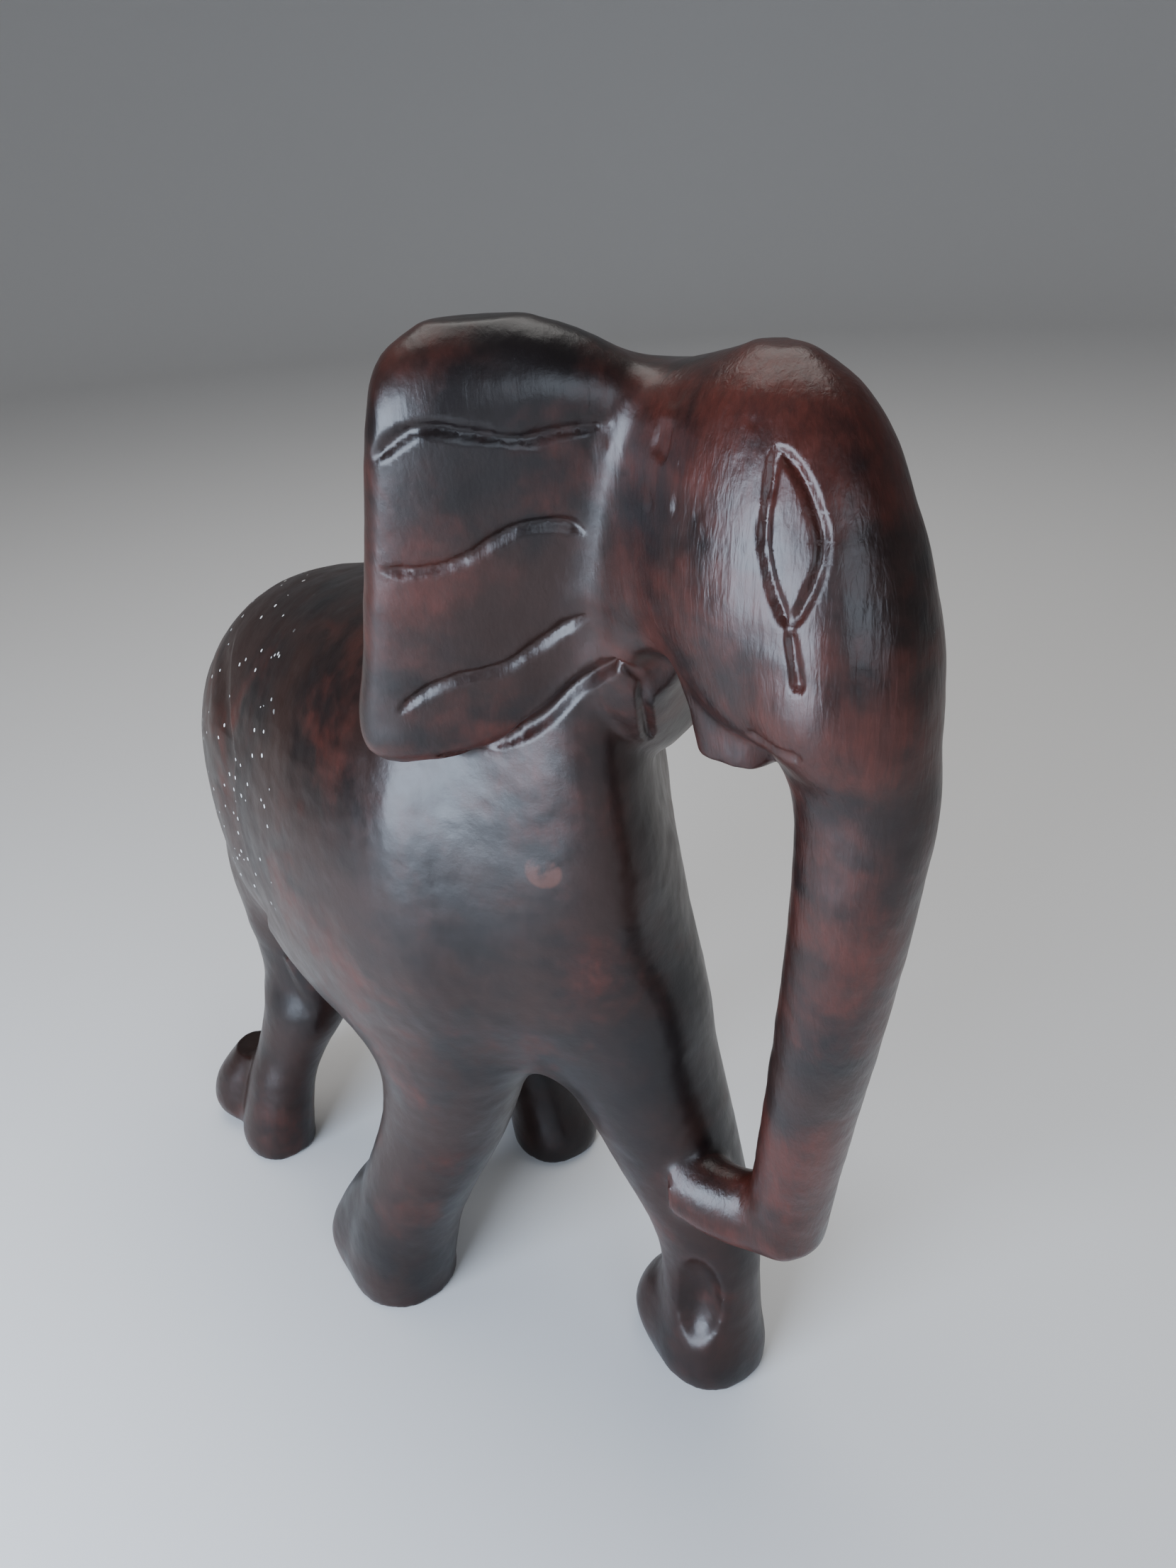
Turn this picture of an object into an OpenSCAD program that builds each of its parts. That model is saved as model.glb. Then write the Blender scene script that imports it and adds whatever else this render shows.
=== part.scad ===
// Carved wooden elephant, walking, with its trunk resting on its left foreleg.
// Each carved member is a solid of its own, and it stops at the face where it meets its neighbour.
// The elephant faces -Y and its right side is -X. The origin is under the middle of its box.

/* [Torso] */
// Length of the torso from the chest to the rump
torso_length = 223; // [205:1:240]
// Width of the torso at the ribs
torso_width = 100; // [90:1:108]
// Depth of the torso from the back to the belly
torso_depth = 154; // [144:1:162]
// Height of the torso's middle above the floor
torso_rise = 168; // [164:1:172]

/* [Head] */
// Width of the head at the eyes
head_width = 37; // [34:1:42]
// Length of the head from the nape to the brow
head_length = 50; // [46:1:54]
// Height of the crown above the floor
crown_height = 320; // [314:1:326]
// Turn of the head towards the elephant's left
head_turn = 15; // [5:1:20]

/* [Ears] */
// Width of an ear's face at its widest, on the right
right_ear_width = 63; // [56:1:66]
// Width of an ear's face at its widest, on the left
left_ear_width = 48; // [44:1:54]
// Thickness of an ear
ear_thickness = 18; // [14:1:20]

/* [Trunk] */
// Width of the trunk below the face
trunk_width = 23; // [20:1:26]

/* [Legs] */
// Share by which the soles are wider or narrower than the carved ones
sole_scale = 1; // [0.9:0.05:1.1]
// Share by which the legs are thicker or thinner than the carved ones
leg_scale = 1; // [0.9:0.05:1.1]

/* [Tail] */
// Width of the tail, carved against the rump
tail_width = 10; // [8:1:12]

/* [Hidden] */

// The members are placed from a point between the four feet, and then moved to the middle of the box.
box_shift = [-2.75, 26.76, 0];
// Cuts made between one row of a form and the next
steps = 2;
// Corners of each cut's outline
corners = 26;
// Thickness of the slice that stands for a cut
slice = 0.02;
// Chest end of the torso
chest_y = -98;
// Height below which a leg's row belongs to its sole
sole_top = 12;

// A form is a list of rows: [x, y, z, half width, half depth, turn, squareness].
// Squareness 2 is an ellipse, and a larger value is nearer a rectangle with round corners.

function signed_power(v, p) = sign(v) * pow(abs(v), p);

function outline(row) = [
  for (i = [0 : corners - 1])
    let (a = i * 360 / corners)
    [row[3] * signed_power(cos(a), 2 / row[6]), row[4] * signed_power(sin(a), 2 / row[6])]
];

// A smooth curve through four rows, at t from the second to the third
function between(p, q, r, s, t) =
  0.5 * (2 * q + (r - p) * t + (2 * p - 5 * q + 4 * r - s) * t * t + (3 * q - p - 3 * r + s) * t * t * t);

function smooth(rows) = [
  for (i = [0 : len(rows) - 2], k = [0 : steps - 1])
    between(rows[max(i - 1, 0)], rows[i], rows[i + 1], rows[min(i + 2, len(rows) - 1)], k / steps),
  rows[len(rows) - 1]
];

// One level cut of an upright form
module level_cut(row) {
  translate([row[0], row[1], row[2]])
    rotate([0, 0, row[5]])
      linear_extrude(height = slice)
        polygon(outline(row));
}

// One upright cut of a form that lies along the body
module cross_cut(row) {
  translate([row[0], row[1], row[2]])
    rotate([90, 0, row[5]])
      linear_extrude(height = slice)
        polygon(outline(row));
}

// A form that rises, such as a leg
module upright_form(rows) {
  cuts = smooth(rows);
  for (i = [0 : len(cuts) - 2])
    hull() {
      level_cut(cuts[i]);
      level_cut(cuts[i + 1]);
    }
}

// A form that lies along the body, such as the torso
module lying_form(rows) {
  cuts = smooth(rows);
  for (i = [0 : len(cuts) - 2])
    hull() {
      cross_cut(cuts[i]);
      cross_cut(cuts[i + 1]);
    }
}

// Row of the torso, from its place along the body and the size carved there
function rib(x, y, z, half_w, half_d, square) = [
  x, chest_y + (y - chest_y) * torso_length / 223, z + torso_rise - 168,
  half_w * torso_width / 100, half_d * torso_depth / 154, 0, square
];

torso_rows = [
  rib(6, -98, 200, 5, 8, 2),
  rib(6, -91, 196, 22, 34, 2.2),
  rib(4, -71, 189, 43, 62, 2.3),
  rib(2, -36, 176, 50, 75, 2.3),
  rib(2, 9, 168, 50, 77, 2.3),
  rib(3, 51, 165, 47, 71, 2.3),
  rib(5, 84, 163, 41, 56, 2.3),
  rib(7, 108, 164, 30, 40, 2.2),
  rib(8, 121, 166, 16, 24, 2),
  rib(8, 125, 166, 3, 5, 2)
];

// The front of the chest stands up between the forelegs and carries the throat.
function chest_cut(x, y, z, half_w, half_d) = [x, y, z, half_w, half_d, 0, 2];

chest_rows = [
  chest_cut(14, -64, 112, 6, 8),
  chest_cut(13, -66, 122, 16, 18),
  chest_cut(12, -70, 140, 22, 25),
  chest_cut(10, -75, 160, 24, 28),
  chest_cut(6, -82, 190, 23, 29),
  chest_cut(2, -87, 220, 18, 25),
  chest_cut(1, -88, 240, 15, 21),
  chest_cut(0, -90, 256, 13, 18)
];

// The neck rises from the shoulders and runs into the back of the head.
function neck_cut(x, y, z, half_w, half_d, square) = [x, y, z, half_w, half_d, 0, square];

neck_rows = [
  neck_cut(7, -70, 225, 24, 30, 2.2),
  neck_cut(6, -84, 242, 20, 38, 2.2),
  neck_cut(6, -100, 262, 15, 38, 2.4),
  neck_cut(9, -116, 285, 12, 28, 2.6),
  neck_cut(12, -130, 288, 11, 24, 2.8),
  neck_cut(12, -146, 288, 12, 25, 2.6),
  neck_cut(11, -156, 288, 8, 18, 2.4)
];

// Row of the head, with its height below the crown kept
function skull(x, y, z, half_w, half_d, square) = [
  x, y, z + crown_height - 320,
  half_w * head_width / 37, half_d * head_length / 50, head_turn, square
];

head_rows = [
  skull(14, -158, 250, 9, 11, 2),
  skull(13.5, -158, 254, 15, 19, 2),
  skull(13, -157, 264, 18, 24, 2.2),
  skull(11, -156.5, 280, 18.5, 25, 2.2),
  skull(10, -155.5, 300, 15.5, 21.5, 2.2),
  skull(9.5, -155, 313, 11, 15, 2),
  skull(9.5, -155, 320, 4, 5, 2)
];

// Row of the trunk, which tapers from the brow to the tip
function trunk_cut(x, y, z, half_w, half_d) = [
  x, y, z, half_w * trunk_width / 23, half_d * trunk_width / 23, head_turn, 2
];

trunk_rows = [
  trunk_cut(38, -132, 74, 6, 6),
  trunk_cut(38, -132, 77, 9.5, 9.5),
  trunk_cut(37.5, -132.5, 86, 10.8, 11.2),
  trunk_cut(35.5, -137, 105, 11, 11.4),
  trunk_cut(30.5, -147, 140, 11.4, 11.8),
  trunk_cut(25.5, -157.5, 178, 12.2, 12.3),
  trunk_cut(21.5, -166, 215, 12.8, 13),
  trunk_cut(19.3, -168.8, 240, 12.8, 14.5),
  trunk_cut(14, -164, 262, 17, 17),
  trunk_cut(12, -158, 285, 12, 14)
];

// The tip curls back and stays joined to the front of the left foreleg.
function tip_cut(x, y, z, half_w, half_d) = [x, y, z, half_w, half_d, 0, 2];

trunk_tip_rows = [
  tip_cut(38, -136, 81, 8, 9),
  tip_cut(35, -127, 80, 10, 12),
  tip_cut(29, -116, 81, 10.5, 12),
  tip_cut(24, -106, 83, 9, 11)
];

// The lower jaw is a small block with square corners.
function jaw_cut(x, y, z, half_w, half_d) = [x, y, z, half_w, half_d, head_turn, 3];

jaw_rows = [
  jaw_cut(8, -147, 243, 7, 8),
  jaw_cut(8, -147, 252, 8, 10),
  jaw_cut(9, -144, 270, 10, 14)
];

// Row of an ear, an upright slab with round edges
function ear_cut(x, y, z, half_w, half_d, square, turn, wide) = [
  x, y, z, half_w * wide, half_d * ear_thickness / 18, turn, square
];

function right_ear_cut(x, y, z, half_w, half_d, square) =
  ear_cut(x, y, z, half_w, half_d, square, 155, right_ear_width / 63);

right_ear_rows = [
  right_ear_cut(-30, -84, 232, 9, 4, 2),
  right_ear_cut(-27, -87, 237, 17, 8, 2.6),
  right_ear_cut(-21, -91.5, 246, 24.5, 9, 3),
  right_ear_cut(-15, -99.5, 260, 30.5, 9, 3.2),
  right_ear_cut(-14, -109, 285, 31.5, 9, 3.2),
  right_ear_cut(-18, -115.5, 309, 27, 9, 3),
  right_ear_cut(-21.5, -114, 320, 19.5, 8, 2.6),
  right_ear_cut(-23.5, -113, 325.5, 9, 4, 2)
];

function left_ear_cut(x, y, z, half_w, half_d, square) =
  ear_cut(x, y, z, half_w, half_d, square, 25, left_ear_width / 48);

left_ear_rows = [
  left_ear_cut(25, -97, 222, 8, 4, 2),
  left_ear_cut(25, -98, 228, 17, 8, 2.8),
  left_ear_cut(22, -104, 240, 22, 9, 3.2),
  left_ear_cut(19, -120, 270, 24, 9, 3.2),
  left_ear_cut(20, -130, 296, 22, 9, 3.2),
  left_ear_cut(20, -134, 307, 16, 8, 3),
  left_ear_cut(20, -136, 312, 6, 4, 2)
];

// Row of a leg: it stands on a flat sole, narrows at the ankle and swells to the thigh.
function leg_cut(x, y, z, half_w, half_d, square) =
  let (size = z < sole_top ? sole_scale : leg_scale)
  [x, y, z, half_w * size, half_d * size, 0, square];

// Each leg has a heel lobe that stands on the floor behind it.
right_foreleg_rows = [
  leg_cut(-31, -9, 0, 18, 20, 2.2),
  leg_cut(-31, -9, 8, 18.5, 20.5, 2.2),
  leg_cut(-28, -14, 28, 19, 19, 2),
  leg_cut(-23, -20, 48, 19.5, 19.5, 2),
  leg_cut(-14, -30, 80, 21, 22, 2),
  leg_cut(-12, -40, 120, 22, 26, 2),
  leg_cut(-10, -40, 150, 18, 22, 2)
];

right_fore_heel_rows = [
  leg_cut(-36, 7, 0, 12, 12, 2),
  leg_cut(-36, 7, 10, 13, 12.5, 2),
  leg_cut(-33, 2, 24, 13, 12, 2),
  leg_cut(-28, -6, 40, 12, 11, 2),
  leg_cut(-24, -14, 52, 6, 6, 2)
];

left_foreleg_rows = [
  leg_cut(34, -101, 0, 16.5, 17, 2.2),
  leg_cut(34, -101, 8, 17, 17.5, 2.2),
  leg_cut(35, -101, 25, 15.5, 15.5, 2),
  leg_cut(36, -98, 50, 15.2, 17, 2),
  leg_cut(31, -88, 85, 19.5, 21.5, 2),
  leg_cut(25, -81, 118, 23, 25, 2),
  leg_cut(21, -79, 150, 22, 27, 2),
  leg_cut(15, -73, 190, 17, 23, 2)
];

left_fore_heel_rows = [
  leg_cut(34, -86, 0, 13.5, 12.5, 2),
  leg_cut(34, -86, 10, 15, 14, 2),
  leg_cut(34, -87, 20, 12, 11, 2),
  leg_cut(34, -90, 29, 6, 6, 2)
];

right_hind_leg_rows = [
  leg_cut(-41, 80, 0, 13, 15, 2.2),
  leg_cut(-41, 80, 8, 13.5, 15.5, 2.2),
  leg_cut(-36, 78, 30, 13, 14, 2),
  leg_cut(-29, 76, 46, 13.5, 15, 2),
  leg_cut(-22, 73, 62, 16, 18, 2),
  leg_cut(-17, 72, 82, 18, 20, 2),
  leg_cut(-13, 76, 102, 22, 26, 2),
  leg_cut(-8, 84, 126, 26, 31, 2),
  leg_cut(-4, 84, 145, 22, 28, 2)
];

right_hind_heel_rows = [
  leg_cut(-44, 103, 0, 8, 10, 2),
  leg_cut(-45, 104, 8, 12, 13, 2),
  leg_cut(-43, 103, 20, 12, 12, 2),
  leg_cut(-38, 98, 34, 8, 9, 2)
];

left_hind_leg_rows = [
  leg_cut(47, 11, 0, 15, 16, 2.2),
  leg_cut(47, 11, 8, 15.5, 17, 2.2),
  leg_cut(45, 15, 28, 14, 14.5, 2),
  leg_cut(41, 22, 55, 16, 17.5, 2),
  leg_cut(35, 30, 80, 19, 22, 2),
  leg_cut(28, 40, 115, 22, 26, 2),
  leg_cut(24, 44, 140, 18, 22, 2)
];

left_hind_heel_rows = [
  leg_cut(48, 35, 0, 10, 11, 2),
  leg_cut(49, 36, 8, 12.5, 13, 2),
  leg_cut(47, 35, 20, 12, 12, 2),
  leg_cut(44, 33, 32, 6, 6, 2)
];

function tail_cut(x, y, z, half_w, half_d) = [x, y, z, half_w * tail_width / 10, half_d, 0, 2];

tail_rows = [
  tail_cut(6, 112, 196, 5, 7),
  tail_cut(5, 122, 180, 4.5, 6),
  tail_cut(4, 124, 150, 4, 5),
  tail_cut(3, 115, 122, 4, 5),
  tail_cut(2, 105, 104, 3, 4)
];

module place() {
  translate(box_shift)
    children();
}

module torso_form() {
  lying_form(torso_rows);
  upright_form(chest_rows);
  lying_form(neck_rows);
}

module trunk_form() {
  upright_form(trunk_rows);
  lying_form(trunk_tip_rows);
}

module left_foreleg_form() {
  difference() {
    union() {
      upright_form(left_foreleg_rows);
      upright_form(left_fore_heel_rows);
    }
    // A gouge has hollowed the front of the ankle on its inner side.
    translate([17, -111, 38])
      scale([12.5, 10, 20])
        sphere(r = 1, $fn = 20);
  }
}

module torso() {
  color([0.20, 0.10, 0.07])
    place()
      torso_form();
}

module head() {
  color([0.24, 0.11, 0.08])
    place()
      difference() {
        upright_form(head_rows);
        torso_form();
      }
}

module trunk() {
  color([0.27, 0.12, 0.08])
    place()
      difference() {
        trunk_form();
        upright_form(head_rows);
        left_foreleg_form();
      }
}

module lower_jaw() {
  color([0.22, 0.10, 0.07])
    place()
      difference() {
        upright_form(jaw_rows);
        upright_form(head_rows);
        torso_form();
        trunk_form();
      }
}

// An ear stops where it meets the head, the neck and the shoulder.
module ear(rows) {
  color([0.23, 0.11, 0.08])
    place()
      difference() {
        upright_form(rows);
        upright_form(head_rows);
        torso_form();
      }
}

module right_ear() {
  ear(right_ear_rows);
}

module left_ear() {
  ear(left_ear_rows);
}

// A leg stops where it meets the torso.
module leg() {
  color([0.21, 0.10, 0.08])
    place()
      difference() {
        children();
        torso_form();
      }
}

module right_foreleg() {
  leg()
    union() {
      upright_form(right_foreleg_rows);
      upright_form(right_fore_heel_rows);
    }
}

module left_foreleg() {
  leg()
    left_foreleg_form();
}

module right_hind_leg() {
  leg()
    union() {
      upright_form(right_hind_leg_rows);
      upright_form(right_hind_heel_rows);
    }
}

module left_hind_leg() {
  leg()
    union() {
      upright_form(left_hind_leg_rows);
      upright_form(left_hind_heel_rows);
    }
}

module tail() {
  color([0.20, 0.09, 0.07])
    place()
      difference() {
        upright_form(tail_rows);
        torso_form();
        upright_form(right_hind_leg_rows);
      }
}

torso();
head();
trunk();
lower_jaw();
right_ear();
left_ear();
right_foreleg();
left_foreleg();
right_hind_leg();
left_hind_leg();
tail();
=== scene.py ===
"""A carved wooden elephant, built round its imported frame.

The whole figure is shaped as one solid, because the real one is cut from one block of wood. Its forms are
blended in a distance field, the grooves and tool marks are cut into the surface, and the surface is then
parted into the carved members, one piece for each CAD node. Lengths are in millimetres until the meshes
are made, and in metres for the stage, the camera and the lights.
"""
import itertools
import math

import bpy
import numpy as np
import openvdb as vdb
from mathutils import Matrix, Vector


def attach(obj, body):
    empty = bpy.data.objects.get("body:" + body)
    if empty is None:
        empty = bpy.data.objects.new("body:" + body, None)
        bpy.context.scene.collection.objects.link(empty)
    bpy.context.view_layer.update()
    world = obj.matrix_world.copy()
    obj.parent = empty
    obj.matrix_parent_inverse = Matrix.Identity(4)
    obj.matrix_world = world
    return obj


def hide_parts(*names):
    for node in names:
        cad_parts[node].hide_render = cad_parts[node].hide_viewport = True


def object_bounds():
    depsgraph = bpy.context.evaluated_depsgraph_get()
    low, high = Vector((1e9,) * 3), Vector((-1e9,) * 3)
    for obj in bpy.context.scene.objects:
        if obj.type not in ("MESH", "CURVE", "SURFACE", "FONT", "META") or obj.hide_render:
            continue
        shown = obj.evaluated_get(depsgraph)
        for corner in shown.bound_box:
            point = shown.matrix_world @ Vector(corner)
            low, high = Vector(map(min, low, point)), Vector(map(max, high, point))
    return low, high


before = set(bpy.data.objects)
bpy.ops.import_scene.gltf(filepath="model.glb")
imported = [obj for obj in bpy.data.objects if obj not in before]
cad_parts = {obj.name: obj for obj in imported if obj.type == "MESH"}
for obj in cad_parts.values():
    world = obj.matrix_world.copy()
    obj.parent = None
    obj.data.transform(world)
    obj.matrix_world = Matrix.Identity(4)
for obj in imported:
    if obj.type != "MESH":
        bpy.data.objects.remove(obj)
cad_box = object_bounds()
scene = bpy.context.scene

MM = 0.001
VOXEL = 1.5
SUBDIVISIONS = 1
SEED = 7

# The members are laid out from a point between the feet, then moved to the middle of the frame's box.
BOX_SHIFT = np.array([-2.75, 26.76, 0.0])

# ---------------------------------------------------------------- forms
# A form is a list of cuts: x, y, z, half width, half depth, squareness (2 is an ellipse).

TORSO = [
    [6, -98, 200, 5, 8, 2], [6, -91, 196, 22, 34, 2.2], [4, -71, 189, 43, 62, 2.3],
    [2, -36, 176, 50, 75, 2.3], [2, 9, 168, 50, 77, 2.3], [3, 51, 165, 47, 71, 2.3],
    [5, 84, 163, 41, 56, 2.3], [7, 108, 164, 30, 40, 2.2], [8, 121, 166, 16, 24, 2],
    [8, 125, 166, 3, 5, 2],
]
CHEST = [
    [14, -64, 112, 6, 8, 2], [13, -66, 122, 16, 18, 2], [12, -70, 140, 22, 25, 2],
    [10, -75, 160, 24, 28, 2], [6, -82, 190, 23, 29, 2], [2, -87, 220, 18, 25, 2],
    [1, -88, 240, 15, 21, 2], [0, -90, 256, 13, 18, 2],
]
NECK = [
    [7, -70, 225, 24, 30, 2.2], [6, -84, 242, 20, 38, 2.2], [6, -100, 262, 15, 38, 2.4],
    [9, -116, 285, 12, 28, 2.6], [12, -130, 288, 11, 24, 2.8], [12, -146, 288, 12, 25, 2.6],
    [11, -156, 288, 8, 18, 2.4],
]
HEAD = [
    [14, -158, 250, 9, 11, 2], [13.5, -158, 254, 15, 19, 2], [13, -157, 264, 18, 24, 2.2],
    [11, -156.5, 280, 18.5, 25, 2.2], [10, -155.5, 300, 15.5, 21.5, 2.2], [9.5, -155, 313, 11, 15, 2],
    [9.5, -155, 320, 4, 5, 2],
]
TRUNK = [
    [38, -132, 74, 6, 6, 2], [38, -132, 77, 9.5, 9.5, 2], [37.5, -132.5, 86, 10.8, 11.2, 2],
    [35.5, -137, 105, 11, 11.4, 2], [30.5, -147, 140, 11.4, 11.8, 2],
    [25.5, -157.5, 178, 12.2, 12.3, 2], [21.5, -166, 215, 12.8, 13, 2],
    [19.3, -168.8, 240, 12.8, 14.5, 2], [14, -164, 262, 17, 17, 2], [12, -158, 285, 12, 14, 2],
]
TRUNK_TIP = [
    [38, -136, 81, 8, 9, 2], [35, -127, 80, 10, 12, 2], [29, -116, 81, 10.5, 12, 2],
    [24, -106, 83, 9, 11, 2],
]
JAW = [[8, -147, 243, 7, 8, 3], [8, -147, 252, 8, 10, 3], [9, -144, 270, 10, 14, 3]]
RIGHT_EAR = [
    [-30, -84, 232, 9, 4, 2], [-27, -87, 237, 17, 8, 2.6], [-21, -91.5, 246, 24.5, 9, 3],
    [-15, -99.5, 260, 30.5, 9, 3.2], [-14, -109, 285, 31.5, 9, 3.2], [-18, -115.5, 309, 27, 9, 3],
    [-21.5, -114, 320, 19.5, 8, 2.6], [-23.5, -113, 325.5, 9, 4, 2],
]
LEFT_EAR = [
    [25, -97, 222, 8, 4, 2], [25, -98, 228, 17, 8, 2.8], [22, -104, 240, 22, 9, 3.2],
    [19, -120, 270, 24, 9, 3.2], [20, -130, 296, 22, 9, 3.2], [20, -134, 307, 16, 8, 3],
    [20, -136, 312, 6, 4, 2],
]
RIGHT_FORELEG = [
    [-31, -9, 0, 18, 20, 2.2], [-31, -9, 8, 18.5, 20.5, 2.2], [-28, -14, 28, 19, 19, 2],
    [-23, -20, 48, 19.5, 19.5, 2], [-14, -30, 80, 21, 22, 2], [-12, -40, 120, 22, 26, 2],
    [-10, -40, 150, 18, 22, 2],
]
RIGHT_FORE_HEEL = [
    [-36, 7, 0, 12, 12, 2], [-36, 7, 10, 13, 12.5, 2], [-33, 2, 24, 13, 12, 2],
    [-28, -6, 40, 12, 11, 2], [-24, -14, 52, 6, 6, 2],
]
LEFT_FORELEG = [
    [34, -101, 0, 16.5, 17, 2.2], [34, -101, 8, 17, 17.5, 2.2], [35, -101, 25, 15.5, 15.5, 2],
    [36, -98, 50, 15.2, 17, 2], [31, -88, 85, 19.5, 21.5, 2], [25, -81, 118, 23, 25, 2],
    [21, -79, 150, 22, 27, 2], [15, -73, 190, 17, 23, 2],
]
LEFT_FORE_HEEL = [
    [34, -86, 0, 13.5, 12.5, 2], [34, -86, 10, 15, 14, 2], [34, -87, 20, 12, 11, 2],
    [34, -90, 29, 6, 6, 2],
]
RIGHT_HIND_LEG = [
    [-41, 80, 0, 13, 15, 2.2], [-41, 80, 8, 13.5, 15.5, 2.2], [-36, 78, 30, 13, 14, 2],
    [-29, 76, 46, 13.5, 15, 2], [-22, 73, 62, 16, 18, 2], [-17, 72, 82, 18, 20, 2],
    [-13, 76, 102, 22, 26, 2], [-8, 84, 126, 26, 31, 2], [-4, 84, 145, 22, 28, 2],
]
RIGHT_HIND_HEEL = [
    [-44, 103, 0, 8, 10, 2], [-45, 104, 8, 12, 13, 2], [-43, 103, 20, 12, 12, 2],
    [-38, 98, 34, 8, 9, 2],
]
LEFT_HIND_LEG = [
    [47, 11, 0, 15, 16, 2.2], [47, 11, 8, 15.5, 17, 2.2], [45, 15, 28, 14, 14.5, 2],
    [41, 22, 55, 16, 17.5, 2], [35, 30, 80, 19, 22, 2], [28, 40, 115, 22, 26, 2],
    [24, 44, 140, 18, 22, 2],
]
LEFT_HIND_HEEL = [
    [48, 35, 0, 10, 11, 2], [49, 36, 8, 12.5, 13, 2], [47, 35, 20, 12, 12, 2], [44, 33, 32, 6, 6, 2],
]
TAIL = [
    [6, 112, 196, 5, 7, 2], [5, 122, 180, 4.5, 6, 2], [4, 124, 150, 4, 5, 2], [3, 115, 122, 4, 5, 2],
    [2, 105, 104, 3, 4, 2],
]

# How a form's cuts lie: upright across the length of the body, or level and turned by some degrees.
UPRIGHT = None
HEAD_TURN = 15
RIGHT_EAR_TURN = 155
LEFT_EAR_TURN = 25

# Each carved member: its forms and how their cuts lie, the fillet between them, its material slot.
MEMBERS = {
    "torso": ([(TORSO, UPRIGHT), (CHEST, 0), (NECK, UPRIGHT)], 16, "body_wood"),
    "head": ([(HEAD, HEAD_TURN)], 0, "head_wood"),
    "trunk": ([(TRUNK, HEAD_TURN), (TRUNK_TIP, UPRIGHT)], 6, "head_wood"),
    "lower_jaw": ([(JAW, HEAD_TURN)], 0, "head_wood"),
    "right_ear": ([(RIGHT_EAR, RIGHT_EAR_TURN)], 0, "ear_wood"),
    "left_ear": ([(LEFT_EAR, LEFT_EAR_TURN)], 0, "ear_wood"),
    "right_foreleg": ([(RIGHT_FORELEG, 0), (RIGHT_FORE_HEEL, 0)], 6, "leg_wood"),
    "left_foreleg": ([(LEFT_FORELEG, 0), (LEFT_FORE_HEEL, 0)], 6, "leg_wood"),
    "right_hind_leg": ([(RIGHT_HIND_LEG, 0), (RIGHT_HIND_HEEL, 0)], 6, "leg_wood"),
    "left_hind_leg": ([(LEFT_HIND_LEG, 0), (LEFT_HIND_HEEL, 0)], 6, "leg_wood"),
    "tail": ([(TAIL, 0)], 0, "body_wood"),
}

# Widths of the fillets where members meet.
LEG_FILLET = 14
TAIL_FILLET = 4
EAR_FILLET = 14
JAW_FILLET = 1.5
# The trunk flows from the forehead but is undercut below the cheeks: place along the body, width.
TRUNK_FILLET = ([-176, -162], [14, 3])
# The ears and cheeks are parted from the shoulders by a sharp groove and flow into the neck above it:
# height, width.
SHOULDER_FILLET = ([120, 140, 258, 272], [4, 1.5, 1.5, 12])

# Hollows cut with a gouge, in the front of the left ankle and in the throat: centre, radii.
SCOOPS = [((17, -111, 38), (12.5, 10, 20)), ((-3, -131, 249), (14, 9, 13))]
SCOOP_EDGE = 1.2


def direction(turn):
    """The level direction at a turn from +X in degrees."""
    return np.array([math.cos(math.radians(turn)), math.sin(math.radians(turn)), 0])


def signed_power(v, p):
    """A power that keeps the sign."""
    return np.sign(v) * np.abs(v) ** p


def smooth_rows(rows, steps=6):
    """Rows on a smooth curve through the given ones."""
    rows = np.array(rows, float)
    last = len(rows) - 1
    out = []
    for i in range(last):
        p, q, r, s = (rows[min(max(k, 0), last)] for k in (i - 1, i, i + 1, i + 2))
        for t in np.arange(steps) / steps:
            out.append(0.5 * (2 * q + (r - p) * t + (2 * p - 5 * q + 4 * r - s) * t ** 2
                              + (3 * q - p - 3 * r + s) * t ** 3))
    out.append(rows[last])
    return np.array(out)


def loft(rows, turn, corners=64):
    """Points, quads and end triangles of a form's closed surface."""
    a = np.arange(corners) * 2 * np.pi / corners
    rings = []
    for x, y, z, half_w, half_d, square in smooth_rows(rows):
        u = half_w * signed_power(np.cos(a), 2 / square)
        v = half_d * signed_power(np.sin(a), 2 / square)
        if turn is UPRIGHT:
            ring = np.stack([u, 0 * u, v], -1)
        else:
            c, s, _ = direction(turn)
            ring = np.stack([u * c - v * s, u * s + v * c, 0 * u], -1)
        rings.append(ring + (x, y, z))
    rings = np.array(rings)
    n = len(rings)
    points = np.concatenate([rings.reshape(-1, 3), rings[0].mean(0)[None], rings[-1].mean(0)[None]])
    j = np.arange(corners)
    k = (j + 1) % corners
    quads = np.concatenate([
        np.stack([i * corners + j, i * corners + k, (i + 1) * corners + k, (i + 1) * corners + j], -1)
        for i in range(n - 1)])
    top = (n - 1) * corners
    ends = np.concatenate([np.stack([k, j, 0 * j + n * corners], -1),
                           np.stack([top + j, top + k, 0 * j + n * corners + 1], -1)])
    return points, quads, ends


# ---------------------------------------------------------------- distance field
# The grid's margin round the frame's box, and how far from a form its distances are kept.
MARGIN = 8
BAND = 20
LOW = np.floor(np.array(cad_box[0]) / MM - MARGIN)
HIGH = np.ceil(np.array(cad_box[1]) / MM + MARGIN)
SHAPE = tuple(((HIGH - LOW) / VOXEL).astype(int) + 1)


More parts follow.
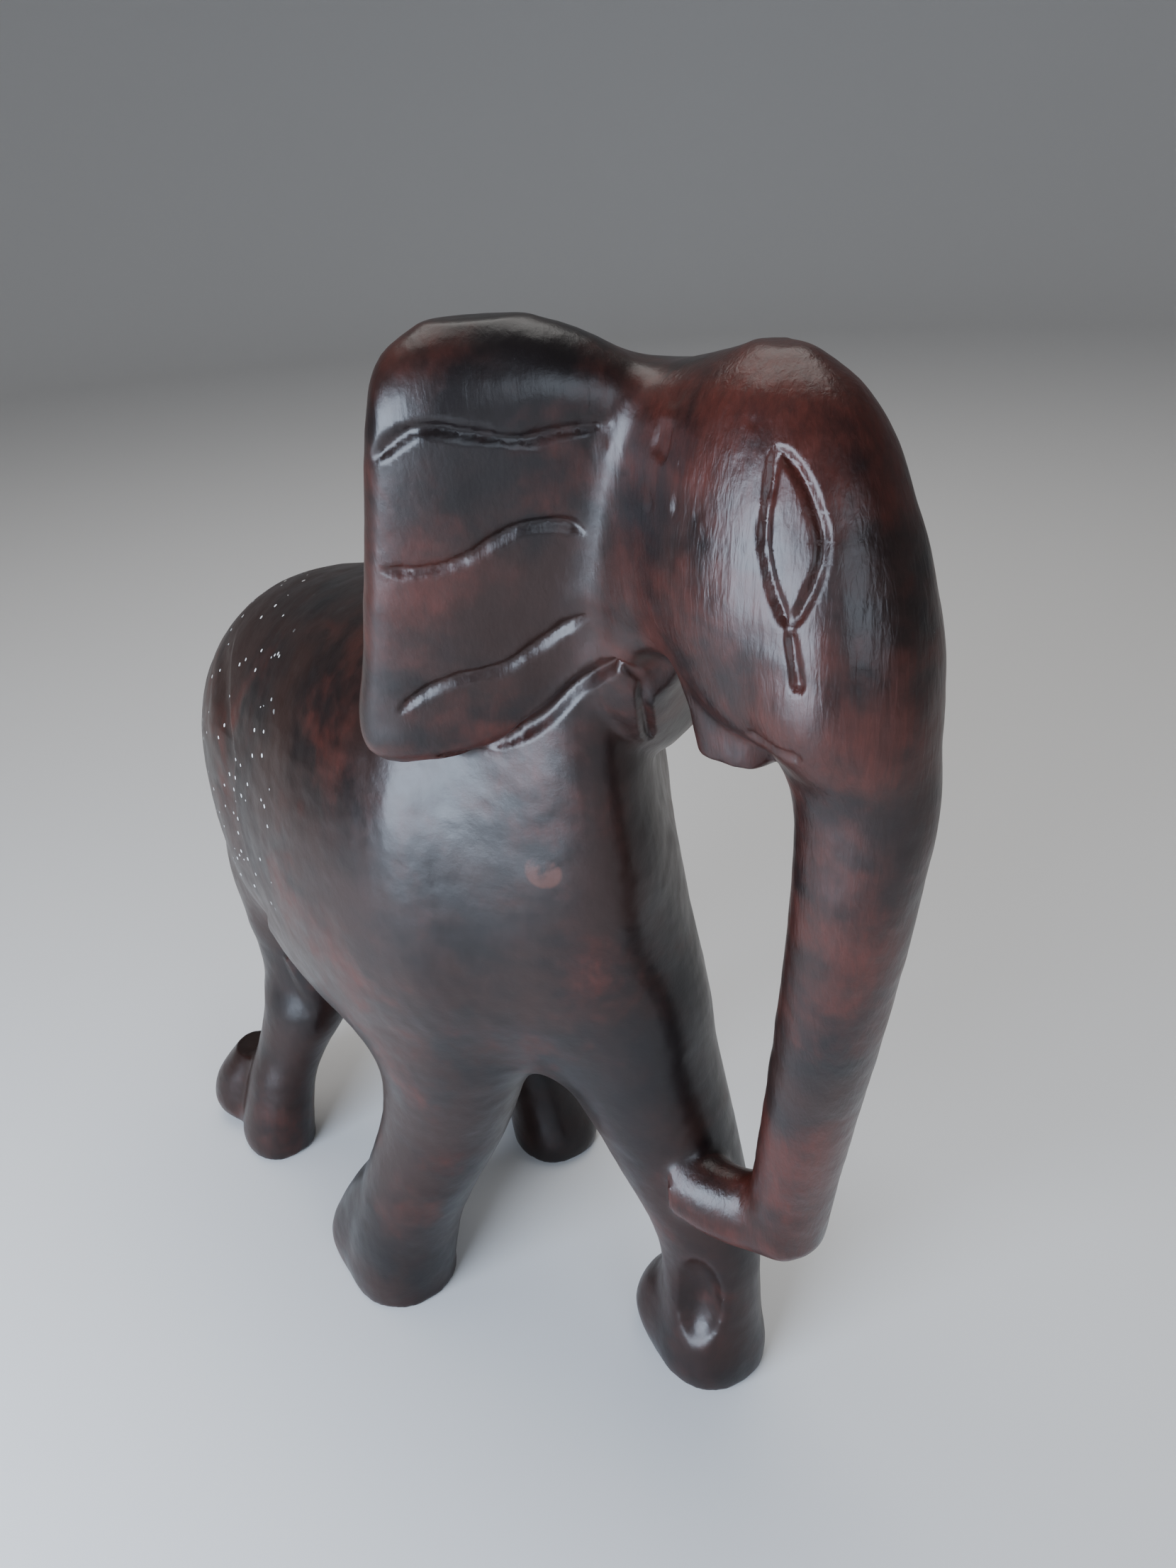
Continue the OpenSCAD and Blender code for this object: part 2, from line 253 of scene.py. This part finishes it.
def field_of(rows, turn):
    """Distance to a form on the grid, negative inside."""
    points, quads, ends = loft(rows, turn)
    points = (points + BOX_SHIFT - LOW) / VOXEL
    grid = vdb.FloatGrid.createLevelSetFromPolygons(
        points.astype(np.float32), triangles=ends.astype(np.uint32), quads=quads.astype(np.uint32),
        transform=vdb.createLinearTransform(voxelSize=1.0), halfWidth=BAND / VOXEL)
    out = np.empty(SHAPE, np.float32)
    grid.copyToArray(out)
    return out * VOXEL


def grid_along(axis, start=0):
    """Places of the grid's layers along an axis, measured from a start."""
    return LOW[axis] - BOX_SHIFT[axis] - start + VOXEL * np.arange(SHAPE[axis])


def ball_field(centre, radii):
    """Rough distance to an ellipsoid on the grid."""
    axes = [grid_along(axis, centre[axis]) for axis in range(3)]
    x, y, z = (a / r for a, r in zip(np.meshgrid(*axes, indexing="ij", sparse=True), radii))
    return ((np.sqrt(x * x + y * y + z * z) - 1) * min(radii)).astype(np.float32)


def blend(a, b, width):
    """Union of two fields with a fillet of about that width."""
    h = np.maximum(width - np.abs(a - b), 0) / np.maximum(width, 0.001)
    return np.minimum(a, b) - h * h * width / 4


def blend_all(fields, width):
    """Union of fields, one after another."""
    out = fields[0]
    for f in fields[1:]:
        out = blend(out, f, width)
    return out


def build_field():
    """The whole figure's field, and each member's own."""
    own = {name: blend_all([field_of(*form) for form in forms], width)
           for name, (forms, width, _) in MEMBERS.items()}
    legs = [own[name] for name in ("right_foreleg", "left_foreleg", "right_hind_leg", "left_hind_leg")]
    body = blend_all([own["torso"]] + legs, LEG_FILLET)
    body = blend(body, own["tail"], TAIL_FILLET)
    face = blend_all([own["head"], own["right_ear"], own["left_ear"]], EAR_FILLET)
    face = blend(face, own["trunk"], np.interp(grid_along(1), *TRUNK_FILLET)[None, :, None])
    face = blend(face, own["lower_jaw"], JAW_FILLET)
    whole = blend(body, face, np.interp(grid_along(2), *SHOULDER_FILLET)[None, None, :])
    for centre, radii in SCOOPS:
        whole = -blend(-whole, ball_field(centre, radii), SCOOP_EDGE)
    return whole, own


def surface_of(field):
    """Points and quads of the surface where a field is zero."""
    grid = vdb.FloatGrid(float(BAND))
    grid.copyFromArray(field)
    grid.transform = vdb.createLinearTransform(voxelSize=VOXEL)
    points, quads = grid.convertToQuads()
    return points + LOW, quads


def subdivided(points, quads, levels):
    """The surface with each quad divided and smoothed."""
    mesh = bpy.data.meshes.new("whole")
    mesh.from_pydata(points.tolist(), [], quads.tolist())
    mesh.validate()
    obj = bpy.data.objects.new("whole", mesh)
    scene.collection.objects.link(obj)
    refine = obj.modifiers.new("refine", "SUBSURF")
    refine.levels = refine.render_levels = levels
    ready = obj.evaluated_get(bpy.context.evaluated_depsgraph_get()).to_mesh()
    places = np.empty(len(ready.vertices) * 3, np.float32)
    ready.vertices.foreach_get("co", places)
    corners = np.empty(len(ready.loops), np.int32)
    ready.loops.foreach_get("vertex_index", corners)
    bpy.data.objects.remove(obj)
    bpy.data.meshes.remove(mesh)
    return places.reshape(-1, 3).astype(float), corners.reshape(-1, 4)


def on_floor(points):
    """The points, with those below the floor raised to it."""
    return np.concatenate([points[:, :2], np.maximum(points[:, 2:], 0)], axis=1)


def cell_corners(t):
    """The eight corners of a grid cell, each with its weight at places t in the cell."""
    for corner in itertools.product((0, 1), repeat=3):
        share = np.abs(1 - np.array(corner) - t)
        yield corner, share[:, 0] * share[:, 1] * share[:, 2]


def sample(field, points):
    """The field at any points, between its grid values."""
    g = np.clip((points - LOW) / VOXEL, 0, np.array(SHAPE) - 1.001)
    i = g.astype(int)
    out = 0
    for (dx, dy, dz), weight in cell_corners(g - i):
        out = out + weight * field[i[:, 0] + dx, i[:, 1] + dy, i[:, 2] + dz]
    return out


def vertex_normals(points, quads):
    """Unit normals of the points, from the quads round each."""
    a, b, c, d = (points[quads[:, k]] for k in range(4))
    n = np.cross(c - a, d - b)
    out = np.zeros_like(points)
    for k in range(4):
        np.add.at(out, quads[:, k], n)
    return out / np.maximum(np.linalg.norm(out, axis=1, keepdims=True), 1e-9)


# ---------------------------------------------------------------- carved detail
# Cuts in space, below the right ear and cheek and on the chest: path, width, depth.
CREASES = [
    ([(-30, -92, 234.5), (-18, -94, 235), (-12.5, -104, 241), (-6, -112.5, 251), (-3.5, -122, 258)],
     5, 2.4),
    ([(-3.5, -122, 258), (1, -124.5, 253), (3.5, -121, 246.5), (11, -113.5, 232)], 3.6, 1.6),
    ([(-6, -112.5, 222), (-5, -113, 210), (-2.5, -113.5, 198)], 2.4, 0.9),
    ([(-3, -160, 255), (-3, -167.5, 254), (-2, -173, 254)], 4, 1.6),
]
# The line in front of the haunch: heights, and the place along the body at each.
HAUNCH_LINE = ([70, 94, 144, 159, 179, 199, 211, 225], [54, 60, 15, 15, 20, 17, 28, 45])
HAUNCH_DEPTH = 2.0
# Where the wood is pitted between ear and head: centre, radii.
PITTED = [((-9, -144, 302), (11, 20, 22)), ((-5, -162, 312), (8, 7, 8)), ((-12, -104, 306), (12, 10, 8))]
PIT_DEPTH = 0.7

# Veins on an ear: distance out from the middle of the ear, height.
VEINS = [
    [(26, 303.5), (20, 308), (15, 309), (9, 307.5), (0, 305.5), (-6, 306), (-16, 307)],
    [(27, 281.5), (21, 281), (15.5, 281.5), (10.5, 283.5), (6, 286), (0, 288.5), (-7, 288.5), (-11, 286.5)],
    [(28, 248), (23, 252), (16, 255), (9, 256), (5, 257), (0, 260), (-5, 263.5), (-11, 268)],
]
VEIN_WIDTH = 3.8
VEIN_DEPTH = 1.4
# The ears: their turn and the middle of each.
EARS = [(RIGHT_EAR_TURN, (-15.5, -108.5, 0)), (LEFT_EAR_TURN, (19, -120, 0))]

# The right eye's back, front and tail: distance along EYE_ACROSS, height.
EYE = [
    [(128.7, 307), (127.9, 301), (127.2, 293), (128.8, 285.5), (131.9, 278.5)],
    [(128.7, 307), (133, 302.5), (136.6, 294), (135.9, 287), (131.9, 278.5)],
    [(131.9, 278.5), (133.7, 268)],
]
EYE_ACROSS = (0.62, -0.78, 0)
EYE_WIDTH = 2.6
EYE_DEPTH = 1.3
FACE_MIDDLE = np.array([11, -157, 0])

DEEPEST_CUT = 2.6


def segment_distance(p, a, b):
    """Distance from points to a segment, and the share along it."""
    a, b = np.array(a, float), np.array(b, float)
    ab = b - a
    t = np.clip(((p - a) @ ab) / (ab @ ab), 0, 1)
    return np.linalg.norm(p - a - t[:, None] * ab, axis=1), t


def path_distance(p, path):
    """Distance from points to a smooth path, and the share along it."""
    path = smooth_rows(path, 4)
    best, share = np.full(len(p), 1e9), np.zeros(len(p))
    for i in range(len(path) - 1):
        d, t = segment_distance(p, path[i], path[i + 1])
        near = d < best
        best[near], share[near] = d[near], (i + t[near]) / (len(path) - 1)
    return best, share


def value_noise(p, size, seed):
    """Smooth noise from -1 to 1 with lumps of about that size."""
    table = np.random.default_rng(seed).uniform(-1, 1, 4096)
    g = p / size
    i = np.floor(g).astype(np.int64)
    t = g - i
    out = 0
    for (dx, dy, dz), weight in cell_corners(t * t * (3 - 2 * t)):
        # Large primes scatter neighbouring cells over the table.
        key = (i[:, 0] + dx) * 73856093 ^ (i[:, 1] + dy) * 19349663 ^ (i[:, 2] + dz) * 83492791
        out = out + weight * table[key % len(table)]
    return out


def flat_view(p, across, centre=(0, 0, 0)):
    """Points as seen square on: distance along the level direction given, and height."""
    d = p - np.array(centre)
    return np.stack([d @ np.array(across), p[:, 2]], -1)


def groove(flat, path, width, depth, near):
    """Depth of a hand-cut V groove for each point in a flat view, narrowing to its ends."""
    out = np.zeros(len(flat))
    index = np.flatnonzero(near)
    d, share = path_distance(flat[index], path)
    wander = value_noise(np.c_[flat[index], share], 3.5, SEED)
    half = width / 2 * (1 + 0.25 * wander) * np.clip(8 * np.minimum(share, 1 - share) + 0.3, 0, 1)
    out[index] = depth * np.clip(1 - d / half, 0, 1) * np.clip(half / (width / 2), 0, 1)
    return out


def crease(p, path, width, depth):
    """Depth of a V cut along a path in space."""
    out = np.zeros(len(p))
    close = (p > np.min(path, 0) - width) & (p < np.max(path, 0) + width)
    index = np.flatnonzero(np.all(close, axis=1))
    d, share = path_distance(p[index], path)
    half = width / 2 * np.clip(6 * np.minimum(share, 1 - share) + 0.4, 0, 1)
    out[index] = depth * np.clip(1 - d / half, 0, 1)
    return out


def step(value, low, high):
    """0 below low, 1 above high and smooth between them."""
    t = np.clip((value - low) / (high - low), 0, 1)
    return t * t * (3 - 2 * t)


def within(p, centre, radii):
    """1 inside the inner third of an ellipsoid, fading to 0 at its edge."""
    return np.clip(1.5 - 1.5 * np.linalg.norm((p - np.array(centre)) / np.array(radii), axis=1), 0, 1)


def haunch_cut(p, n):
    """The haunches are set back behind a curved line on each flank."""
    behind = p[:, 1] - np.interp(p[:, 2], *HAUNCH_LINE)
    along = step(behind, -2, 2) * (1 - step(behind, 6, 30))
    on_flank = step(np.abs(n[:, 0]), 0.3, 0.6)
    return HAUNCH_DEPTH * (along * step(p[:, 2], 66, 80) * (1 - step(p[:, 2], 205, 228))) * on_flank


def pit_cut(p):
    """Small upright pits left by the gouge."""
    pits = step(value_noise(p * (1, 1, 0.6), 2.6, SEED + 1), 0.25, 0.7)
    return PIT_DEPTH * pits * np.max([within(p, *place) for place in PITTED], axis=0)


def uneven_cut(p):
    """A faint unevenness everywhere, in two sizes."""
    return 0.16 * value_noise(p, 9, SEED + 2) + 0.07 * value_noise(p, 3.5, SEED + 3)


def vein_cut(p, n):
    """The veins on the front of both ears."""
    cut = np.zeros(len(p))
    for turn, middle in EARS:
        across = direction(turn)
        facing = np.sign(across[0]) * np.array([across[1], -across[0], 0])
        flat = flat_view(p, across, middle)
        # Only the front of this ear is cut.
        near = (n @ facing > 0.3) & (flat[:, 0] > -20) & (flat[:, 0] < 31) & (p[:, 2] > 235)
        near &= np.abs((p - np.array(middle)) @ facing) < 26
        for path in VEINS:
            cut += groove(flat, path, VEIN_WIDTH, VEIN_DEPTH, near)
    return cut


def eye_cut(p, n):
    """The eyes, the left one the mirror image of the right across the middle of the face."""
    lateral = direction(HEAD_TURN)
    cut = np.zeros(len(p))
    # Taking away the lateral part twice mirrors a point.
    for flip in (0, 2):
        q = p - flip * ((p - FACE_MIDDLE) @ lateral)[:, None] * lateral
        m = n - flip * (n @ lateral)[:, None] * lateral
        flat = flat_view(q, EYE_ACROSS)
        # Only the side of the face is cut.
        near = (m[:, 0] < 0.1) & (q[:, 1] < -155) & (q[:, 2] > 262) & (flat[:, 0] < 145)
        cut += np.max([groove(flat, path, EYE_WIDTH, EYE_DEPTH, near) for path in EYE], axis=0)
    return cut


def carve(p, n):
    """How far each point of the smooth figure is cut in along its normal."""
    cut = np.zeros(len(p))
    for path, width, depth in CREASES:
        cut += crease(p, path, width, depth)
    for more in (haunch_cut(p, n), pit_cut(p), uneven_cut(p), vein_cut(p, n), eye_cut(p, n)):
        cut += more
    return np.minimum(cut, DEEPEST_CUT)


# ---------------------------------------------------------------- parting into members
# The most rounds of tidying, and the most steps that a member spreads by in one.
LABEL_ROUNDS = 4
SPREAD_STEPS = 400
# How far below the skin a cut side starts.
CAP_INSET = 1.6


def roots_of(pairs, count):
    """For each thing, the lowest number it is joined to through the pairs given."""
    root = np.arange(count)
    while True:
        low = np.minimum(root[pairs[:, 0]], root[pairs[:, 1]])
        after = root.copy()
        np.minimum.at(after, pairs[:, 0], low)
        np.minimum.at(after, pairs[:, 1], low)
        after = after[after]
        if np.array_equal(after, root):
            return root
        root = after


def neighbours(faces):
    """Pairs of faces that share an edge."""
    ends = np.stack([faces, np.roll(faces, -1, axis=1)], -1).reshape(-1, 2)
    owner = np.repeat(np.arange(len(faces)), faces.shape[1])
    ends.sort(axis=1)
    order = np.lexsort((ends[:, 1], ends[:, 0]))
    same = np.all(ends[order[1:]] == ends[order[:-1]], axis=1)
    return np.stack([owner[order[:-1]][same], owner[order[1:]][same]], -1)


def tidy_labels(labels, pairs):
    """Each member keeps its largest patch, and stray patches go to a neighbour."""
    labels = labels.copy()
    for _ in range(LABEL_ROUNDS):
        inside = pairs[labels[pairs[:, 0]] == labels[pairs[:, 1]]]
        root = roots_of(inside, len(labels))
        size = np.bincount(root, minlength=len(labels))
        keep = np.zeros(len(labels), bool)
        for number in range(len(MEMBERS)):
            mine = np.flatnonzero(labels == number)
            keep[root == root[mine[np.argmax(size[root[mine]])]]] = True
        if keep.all():
            return labels
        for _ in range(SPREAD_STEPS):
            for a, b in (pairs.T, pairs.T[::-1]):
                edge = ~keep[a] & keep[b]
                labels[a[edge]] = labels[b[edge]]
                keep[a[edge]] = True
            if keep.all():
                break
    return labels


def carved_skin():
    """The figure's skin: points, normals, quads, and the member that each quad belongs to."""
    whole, own = build_field()
    points, quads = surface_of(whole)
    points, quads = subdivided(on_floor(points), quads, SUBDIVISIONS)
    points = on_floor(points)
    normals = vertex_normals(points, quads)
    middles = points[quads].mean(1)
    labels = np.argmin(np.array([sample(field, middles) for field in own.values()]), axis=0)
    points = on_floor(points - normals * carve(points - BOX_SHIFT, normals)[:, None])
    return points, vertex_normals(points, quads), quads, tidy_labels(labels, neighbours(quads))


def boundary_loops(faces):
    """Closed loops of the free edges, each vertex once in a loop."""
    a, b = faces.ravel(), np.roll(faces, -1, axis=1).ravel()
    key = a.astype(np.int64) * (1 << 32) + b
    free = ~np.isin(key, b.astype(np.int64) * (1 << 32) + a)
    follow = {}
    for start, end in zip(b[free].tolist(), a[free].tolist()):
        follow.setdefault(start, []).append(end)
    loops = []
    while follow:
        path = [next(iter(follow))]
        while path:
            ends = follow.get(path[-1])
            if not ends:
                break
            after = ends.pop()
            if not ends:
                del follow[path[-1]]
            if after in path:
                cut = path.index(after)
                loops.append(path[cut:])
                path = path[:cut + 1]
            else:
                path.append(after)
    return loops


def closed_piece(name, points, normals, faces):
    """A mesh of the faces given, its cut sides closed inside the wood."""
    used, flat = np.unique(faces, return_inverse=True)
    skin = flat.reshape(-1, 4)
    place = points[used]
    all_faces = skin.tolist()
    for loop in boundary_loops(skin):
        # A ring below the skin keeps the cap under the pits and grooves.
        ring = list(range(len(place), len(place) + len(loop)))
        inner = place[loop] - CAP_INSET * normals[used][loop]
        for p, q, u, v in zip(loop, loop[1:] + loop[:1], ring, ring[1:] + ring[:1]):
            all_faces += [(p, q, v, u), (u, v, ring[-1] + 1)]
        place = np.vstack([place, inner, inner.mean(0)])
    mesh = bpy.data.meshes.new(name)
    mesh.from_pydata((place * MM).tolist(), [], all_faces)
    mesh.polygons.foreach_set("use_smooth", np.ones(len(all_faces), bool))
    # The cut sides keep the mesh's own normals, and the carved side keeps the whole figure's.
    custom = np.zeros((len(mesh.loops), 3), np.float32)
    custom[:skin.size] = normals[used][skin.ravel()]
    mesh.normals_split_custom_set(custom.tolist())
    return mesh


# ---------------------------------------------------------------- wood
BLACK_STAIN = (0.0045, 0.0026, 0.0028, 1)
BROWN_STAIN = (0.015, 0.0055, 0.004, 1)
RED_WOOD = (0.050, 0.0105, 0.007, 1)
WORN_WOOD = (0.14, 0.045, 0.03, 1)
PAINT_SPECK = (0.7, 0.7, 0.68, 1)
# Where the wood is worn and where paint has specked it: centre, radius.
WORN_SPOT = (-13.8, -102.4, 202.4), 5
SPECKED = (-38, 40, 195), 62


class Nodes:
    """Short calls for one material's nodes."""

    def __init__(self, name):
        self.material = bpy.data.materials.new(name)
        self.material.use_nodes = True
        self.tree = self.material.node_tree
        self.shader = self.tree.nodes["Principled BSDF"]
        self.place = self.node("ShaderNodeTexCoord").outputs["Object"]

    def set(self, socket, value):
        """Links an output to a socket, or gives the socket a value of its own."""
        if isinstance(value, bpy.types.NodeSocket):
            self.tree.links.new(value, socket)
        else:
            socket.default_value = value

    def node(self, kind, inputs=(), **settings):
        made = self.tree.nodes.new(kind)
        for key, value in settings.items():
            setattr(made, key, value)
        for key, value in dict(inputs).items():
            self.set(made.inputs[key], value)
        return made

    def maths(self, operation, a, b=0.0, c=0.0):
        return self.node("ShaderNodeMath", {0: a, 1: b, 2: c}, operation=operation).outputs[0]

    def ramp(self, value, low, high, start=0.0, end=1.0):
        """A smooth rise from start to end as the value goes from low to high."""
        inputs = {"Value": value, "From Min": low, "From Max": high, "To Min": start, "To Max": end}
        return self.node("ShaderNodeMapRange", inputs, interpolation_type="SMOOTHSTEP").outputs[0]

    def mix(self, share, a, b):
        """From colour a to colour b as the share goes from 0 to 1."""
        made = self.node("ShaderNodeMix", data_type="RGBA")
        for socket, value in zip((made.inputs[0], made.inputs[6], made.inputs[7]), (share, a, b)):
            self.set(socket, value)
        return made.outputs[2]

    def stretched(self, scale):
        """Places scaled along each axis, so that noise on them runs in streaks."""
        return self.node("ShaderNodeMapping", {"Vector": self.place, "Scale": scale}).outputs[0]

    def noise(self, vector, scale, detail=2.0, roughness=0.5, distortion=0.0):
        inputs = {"Vector": vector, "Scale": scale, "Detail": detail, "Roughness": roughness,
                  "Distortion": distortion}
        return self.node("ShaderNodeTexNoise", inputs).outputs["Fac"]

    def inside(self, centre, radius):
        """1 inside a ball round a place on the figure, 0 outside."""
        centre = tuple((np.array(centre) + BOX_SHIFT) * MM)
        away = self.node("ShaderNodeVectorMath", {0: self.place, 1: centre}, operation="DISTANCE")
        return self.ramp(away.outputs["Value"], radius * MM, 0.8 * radius * MM)


def stain_colour(n, small, grain, redness):
    """Black and brown stain in clouds, with the red wood showing through in patches along the grain."""
    cloud = n.noise(n.place, 22, 3, 0.55, 0.3)
    blotch = n.maths("ADD", n.maths("MULTIPLY", cloud, 0.7), n.maths("MULTIPLY", small, 0.3))
    stain = n.mix(n.ramp(blotch, 0.38, 0.60), BLACK_STAIN, BROWN_STAIN)
    patches = n.maths("ADD", n.noise(n.place, 26, 4, 0.62, 0.2), n.maths("MULTIPLY", small, 0.35))
    red = n.ramp(patches, 0.72 - redness, 1.02 - redness)
    red = n.maths("MULTIPLY", red, n.ramp(grain, 0.25, 0.75, 0.55, 1.0))
    return n.mix(red, stain, RED_WOOD)


def marked(n, small, colour):
    """The colour with the worn spot on the chest and the pale paint specks on the flank."""
    worn = n.maths("MULTIPLY", n.inside(*WORN_SPOT), n.ramp(small, 0.42, 0.58, 0.0, 0.28))
    colour = n.mix(worn, colour, WORN_WOOD)
    cells = n.node("ShaderNodeTexVoronoi", {"Vector": n.place, "Scale": 260})
    speck = n.maths("LESS_THAN", cells.outputs["Distance"], 0.15)
    chosen = n.maths("GREATER_THAN", cells.outputs["Color"], 0.5)
    speck = n.maths("MULTIPLY", n.maths("MULTIPLY", speck, chosen), n.inside(*SPECKED))
    return n.mix(speck, colour, PAINT_SPECK)


def fine_relief(n, grain, strokes):
    """Bump from the grain, a fine unevenness and the strokes of the tool."""
    fine = n.noise(n.place, 420, 4, 0.6)
    stroke = n.noise(n.stretched((900, 900, 160)), 1, 2, 0.5, 0.6)
    height = n.maths("ADD", n.maths("MULTIPLY", grain, 0.15), n.maths("MULTIPLY", fine, 0.8))
    height = n.maths("ADD", height, n.maths("MULTIPLY", stroke, strokes))
    return n.node("ShaderNodeBump", {"Strength": 0.2, "Distance": 0.0005, "Height": height}).outputs[0]


def stained_wood(name, redness, strokes):
    """Dark stain over red wood, worn through in cloudy patches, with a satin polish."""
    n = Nodes(name)
    small = n.noise(n.place, 95, 4, 0.6, 0.2)
    grain = n.noise(n.stretched((700, 700, 60)), 1, 3, 0.6)
    uneven = n.maths("ADD", small, n.maths("MULTIPLY", grain, 0.12))
    n.set(n.shader.inputs["Base Color"], marked(n, small, stain_colour(n, small, grain, redness)))
    n.set(n.shader.inputs["Roughness"], n.ramp(uneven, 0.35, 0.75, 0.30, 0.40))
    n.set(n.shader.inputs["Specular IOR Level"], 0.34)
    n.set(n.shader.inputs["Coat Weight"], 0.06)
    n.set(n.shader.inputs["Coat Roughness"], 0.2)
    n.set(n.shader.inputs["Normal"], fine_relief(n, grain, strokes))
    return n.material


# Each slot's material: name, how much red shows, how strongly the tool's strokes show.
MATERIALS = {
    "body_wood": stained_wood("body_stained_wood", 0.06, 0.0),
    "head_wood": stained_wood("head_stained_wood", 0.16, 1.3),
    "ear_wood": stained_wood("ear_stained_wood", 0.14, 0.5),
    "leg_wood": stained_wood("leg_stained_wood", 0.02, 0.0),
}

# ---------------------------------------------------------------- pieces
points, normals, quads, labels = carved_skin()
for number, (name, (_, _, slot)) in enumerate(MEMBERS.items()):
    mesh = closed_piece(name, points, normals, quads[labels == number])
    mesh.materials.append(MATERIALS[slot])
    piece = bpy.data.objects.new(name + "_wood", mesh)
    scene.collection.objects.link(piece)
    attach(piece, "root")
    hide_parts(name)

# ---------------------------------------------------------------- floor, camera, light
HUB_RADIUS = 0.02
FLOOR_RADIUS = 2.2
RIM_RADIUS = 0.8
WALL_TOP = 2.4
SIDES = 72
STAGE_COLOUR = (0.68, 0.67, 0.66, 1)

# The camera's place, its angles in degrees, and its lens and sensor in millimetres.
CAMERA_PLACE = (-0.1373, -0.2835, 0.352)
CAMERA_TURN = -33
CAMERA_DIP = 27.88
CAMERA_ROLL = -3.89
LENS = 28.07
SENSOR = 36

LIGHT_AIM = Vector((0, 0, 0.17))


def make_stage():
    """A round pale floor whose far rim curves up, so that no side of the figure is hidden."""
    bend = [(FLOOR_RADIUS + RIM_RADIUS * math.sin(a), RIM_RADIUS * (1 - math.cos(a)))
            for a in np.linspace(0, math.pi / 2, 9)]
    outline = [(HUB_RADIUS, 0)] + bend + [(FLOOR_RADIUS + RIM_RADIUS, WALL_TOP)]
    turns = np.arange(SIDES) * 2 * np.pi / SIDES
    corners = [(r * math.cos(t), r * math.sin(t), h) for r, h in outline for t in turns]
    faces = [tuple(range(SIDES))]
    for i in range(len(outline) - 1):
        near, far = i * SIDES, (i + 1) * SIDES
        faces += [(near + k, far + k, far + (k + 1) % SIDES, near + (k + 1) % SIDES) for k in range(SIDES)]
    mesh = bpy.data.meshes.new("stage")
    mesh.from_pydata(corners, [], faces)
    mesh.shade_smooth()
    pale = bpy.data.materials.new("pale_stage")
    pale.use_nodes = True
    pale.node_tree.nodes["Principled BSDF"].inputs["Base Color"].default_value = STAGE_COLOUR
    pale.node_tree.nodes["Principled BSDF"].inputs["Roughness"].default_value = 0.8
    mesh.materials.append(pale)
    stage = bpy.data.objects.new("stage", mesh)
    scene.collection.objects.link(stage)


def make_camera():
    """A camera in front of the figure and to its right, looking down at it from a little above its head."""
    data = bpy.data.cameras.new("camera")
    data.lens = LENS
    data.sensor_width = SENSOR
    data.clip_start = 0.01
    camera = bpy.data.objects.new("camera", data)
    scene.collection.objects.link(camera)
    camera.matrix_world = (Matrix.Translation(CAMERA_PLACE)
                           @ Matrix.Rotation(math.radians(CAMERA_TURN), 4, "Z")
                           @ Matrix.Rotation(math.radians(90 - CAMERA_DIP), 4, "X")
                           @ Matrix.Rotation(math.radians(CAMERA_ROLL), 4, "Z"))
    return camera


def make_world():
    """A pale, even light from all round."""
    world = bpy.data.worlds.new("studio")
    world.use_nodes = True
    world.node_tree.nodes["Background"].inputs["Color"].default_value = (0.93, 0.96, 1, 1)
    world.node_tree.nodes["Background"].inputs["Strength"].default_value = 0.22
    return world


def area_light(name, turn, rise, distance, size, power, color):
    """A soft box that looks at the figure from the azimuth and elevation given."""
    turn, rise = math.radians(turn), math.radians(rise)
    back = Vector((math.sin(turn) * math.cos(rise), -math.cos(turn) * math.cos(rise), math.sin(rise)))
    data = bpy.data.lights.new(name, "AREA")
    data.shape = "RECTANGLE"
    data.size, data.size_y = size
    data.energy = power
    data.color = color
    light = bpy.data.objects.new(name, data)
    light.location = LIGHT_AIM + back * distance
    light.rotation_euler = back.to_track_quat("Z", "Y").to_euler()
    scene.collection.objects.link(light)


make_stage()
scene.camera = make_camera()
scene.world = make_world()
area_light("window", -73, 4, 0.6, (0.5, 0.38), 12, (0.70, 0.82, 1.0))
area_light("front_box", -8, 9, 0.8, (0.34, 0.34), 1.9, (0.74, 0.85, 1.0))
area_light("ceiling", 150, 78, 1.2, (1.2, 1.0), 12.5, (1.0, 0.98, 0.95))
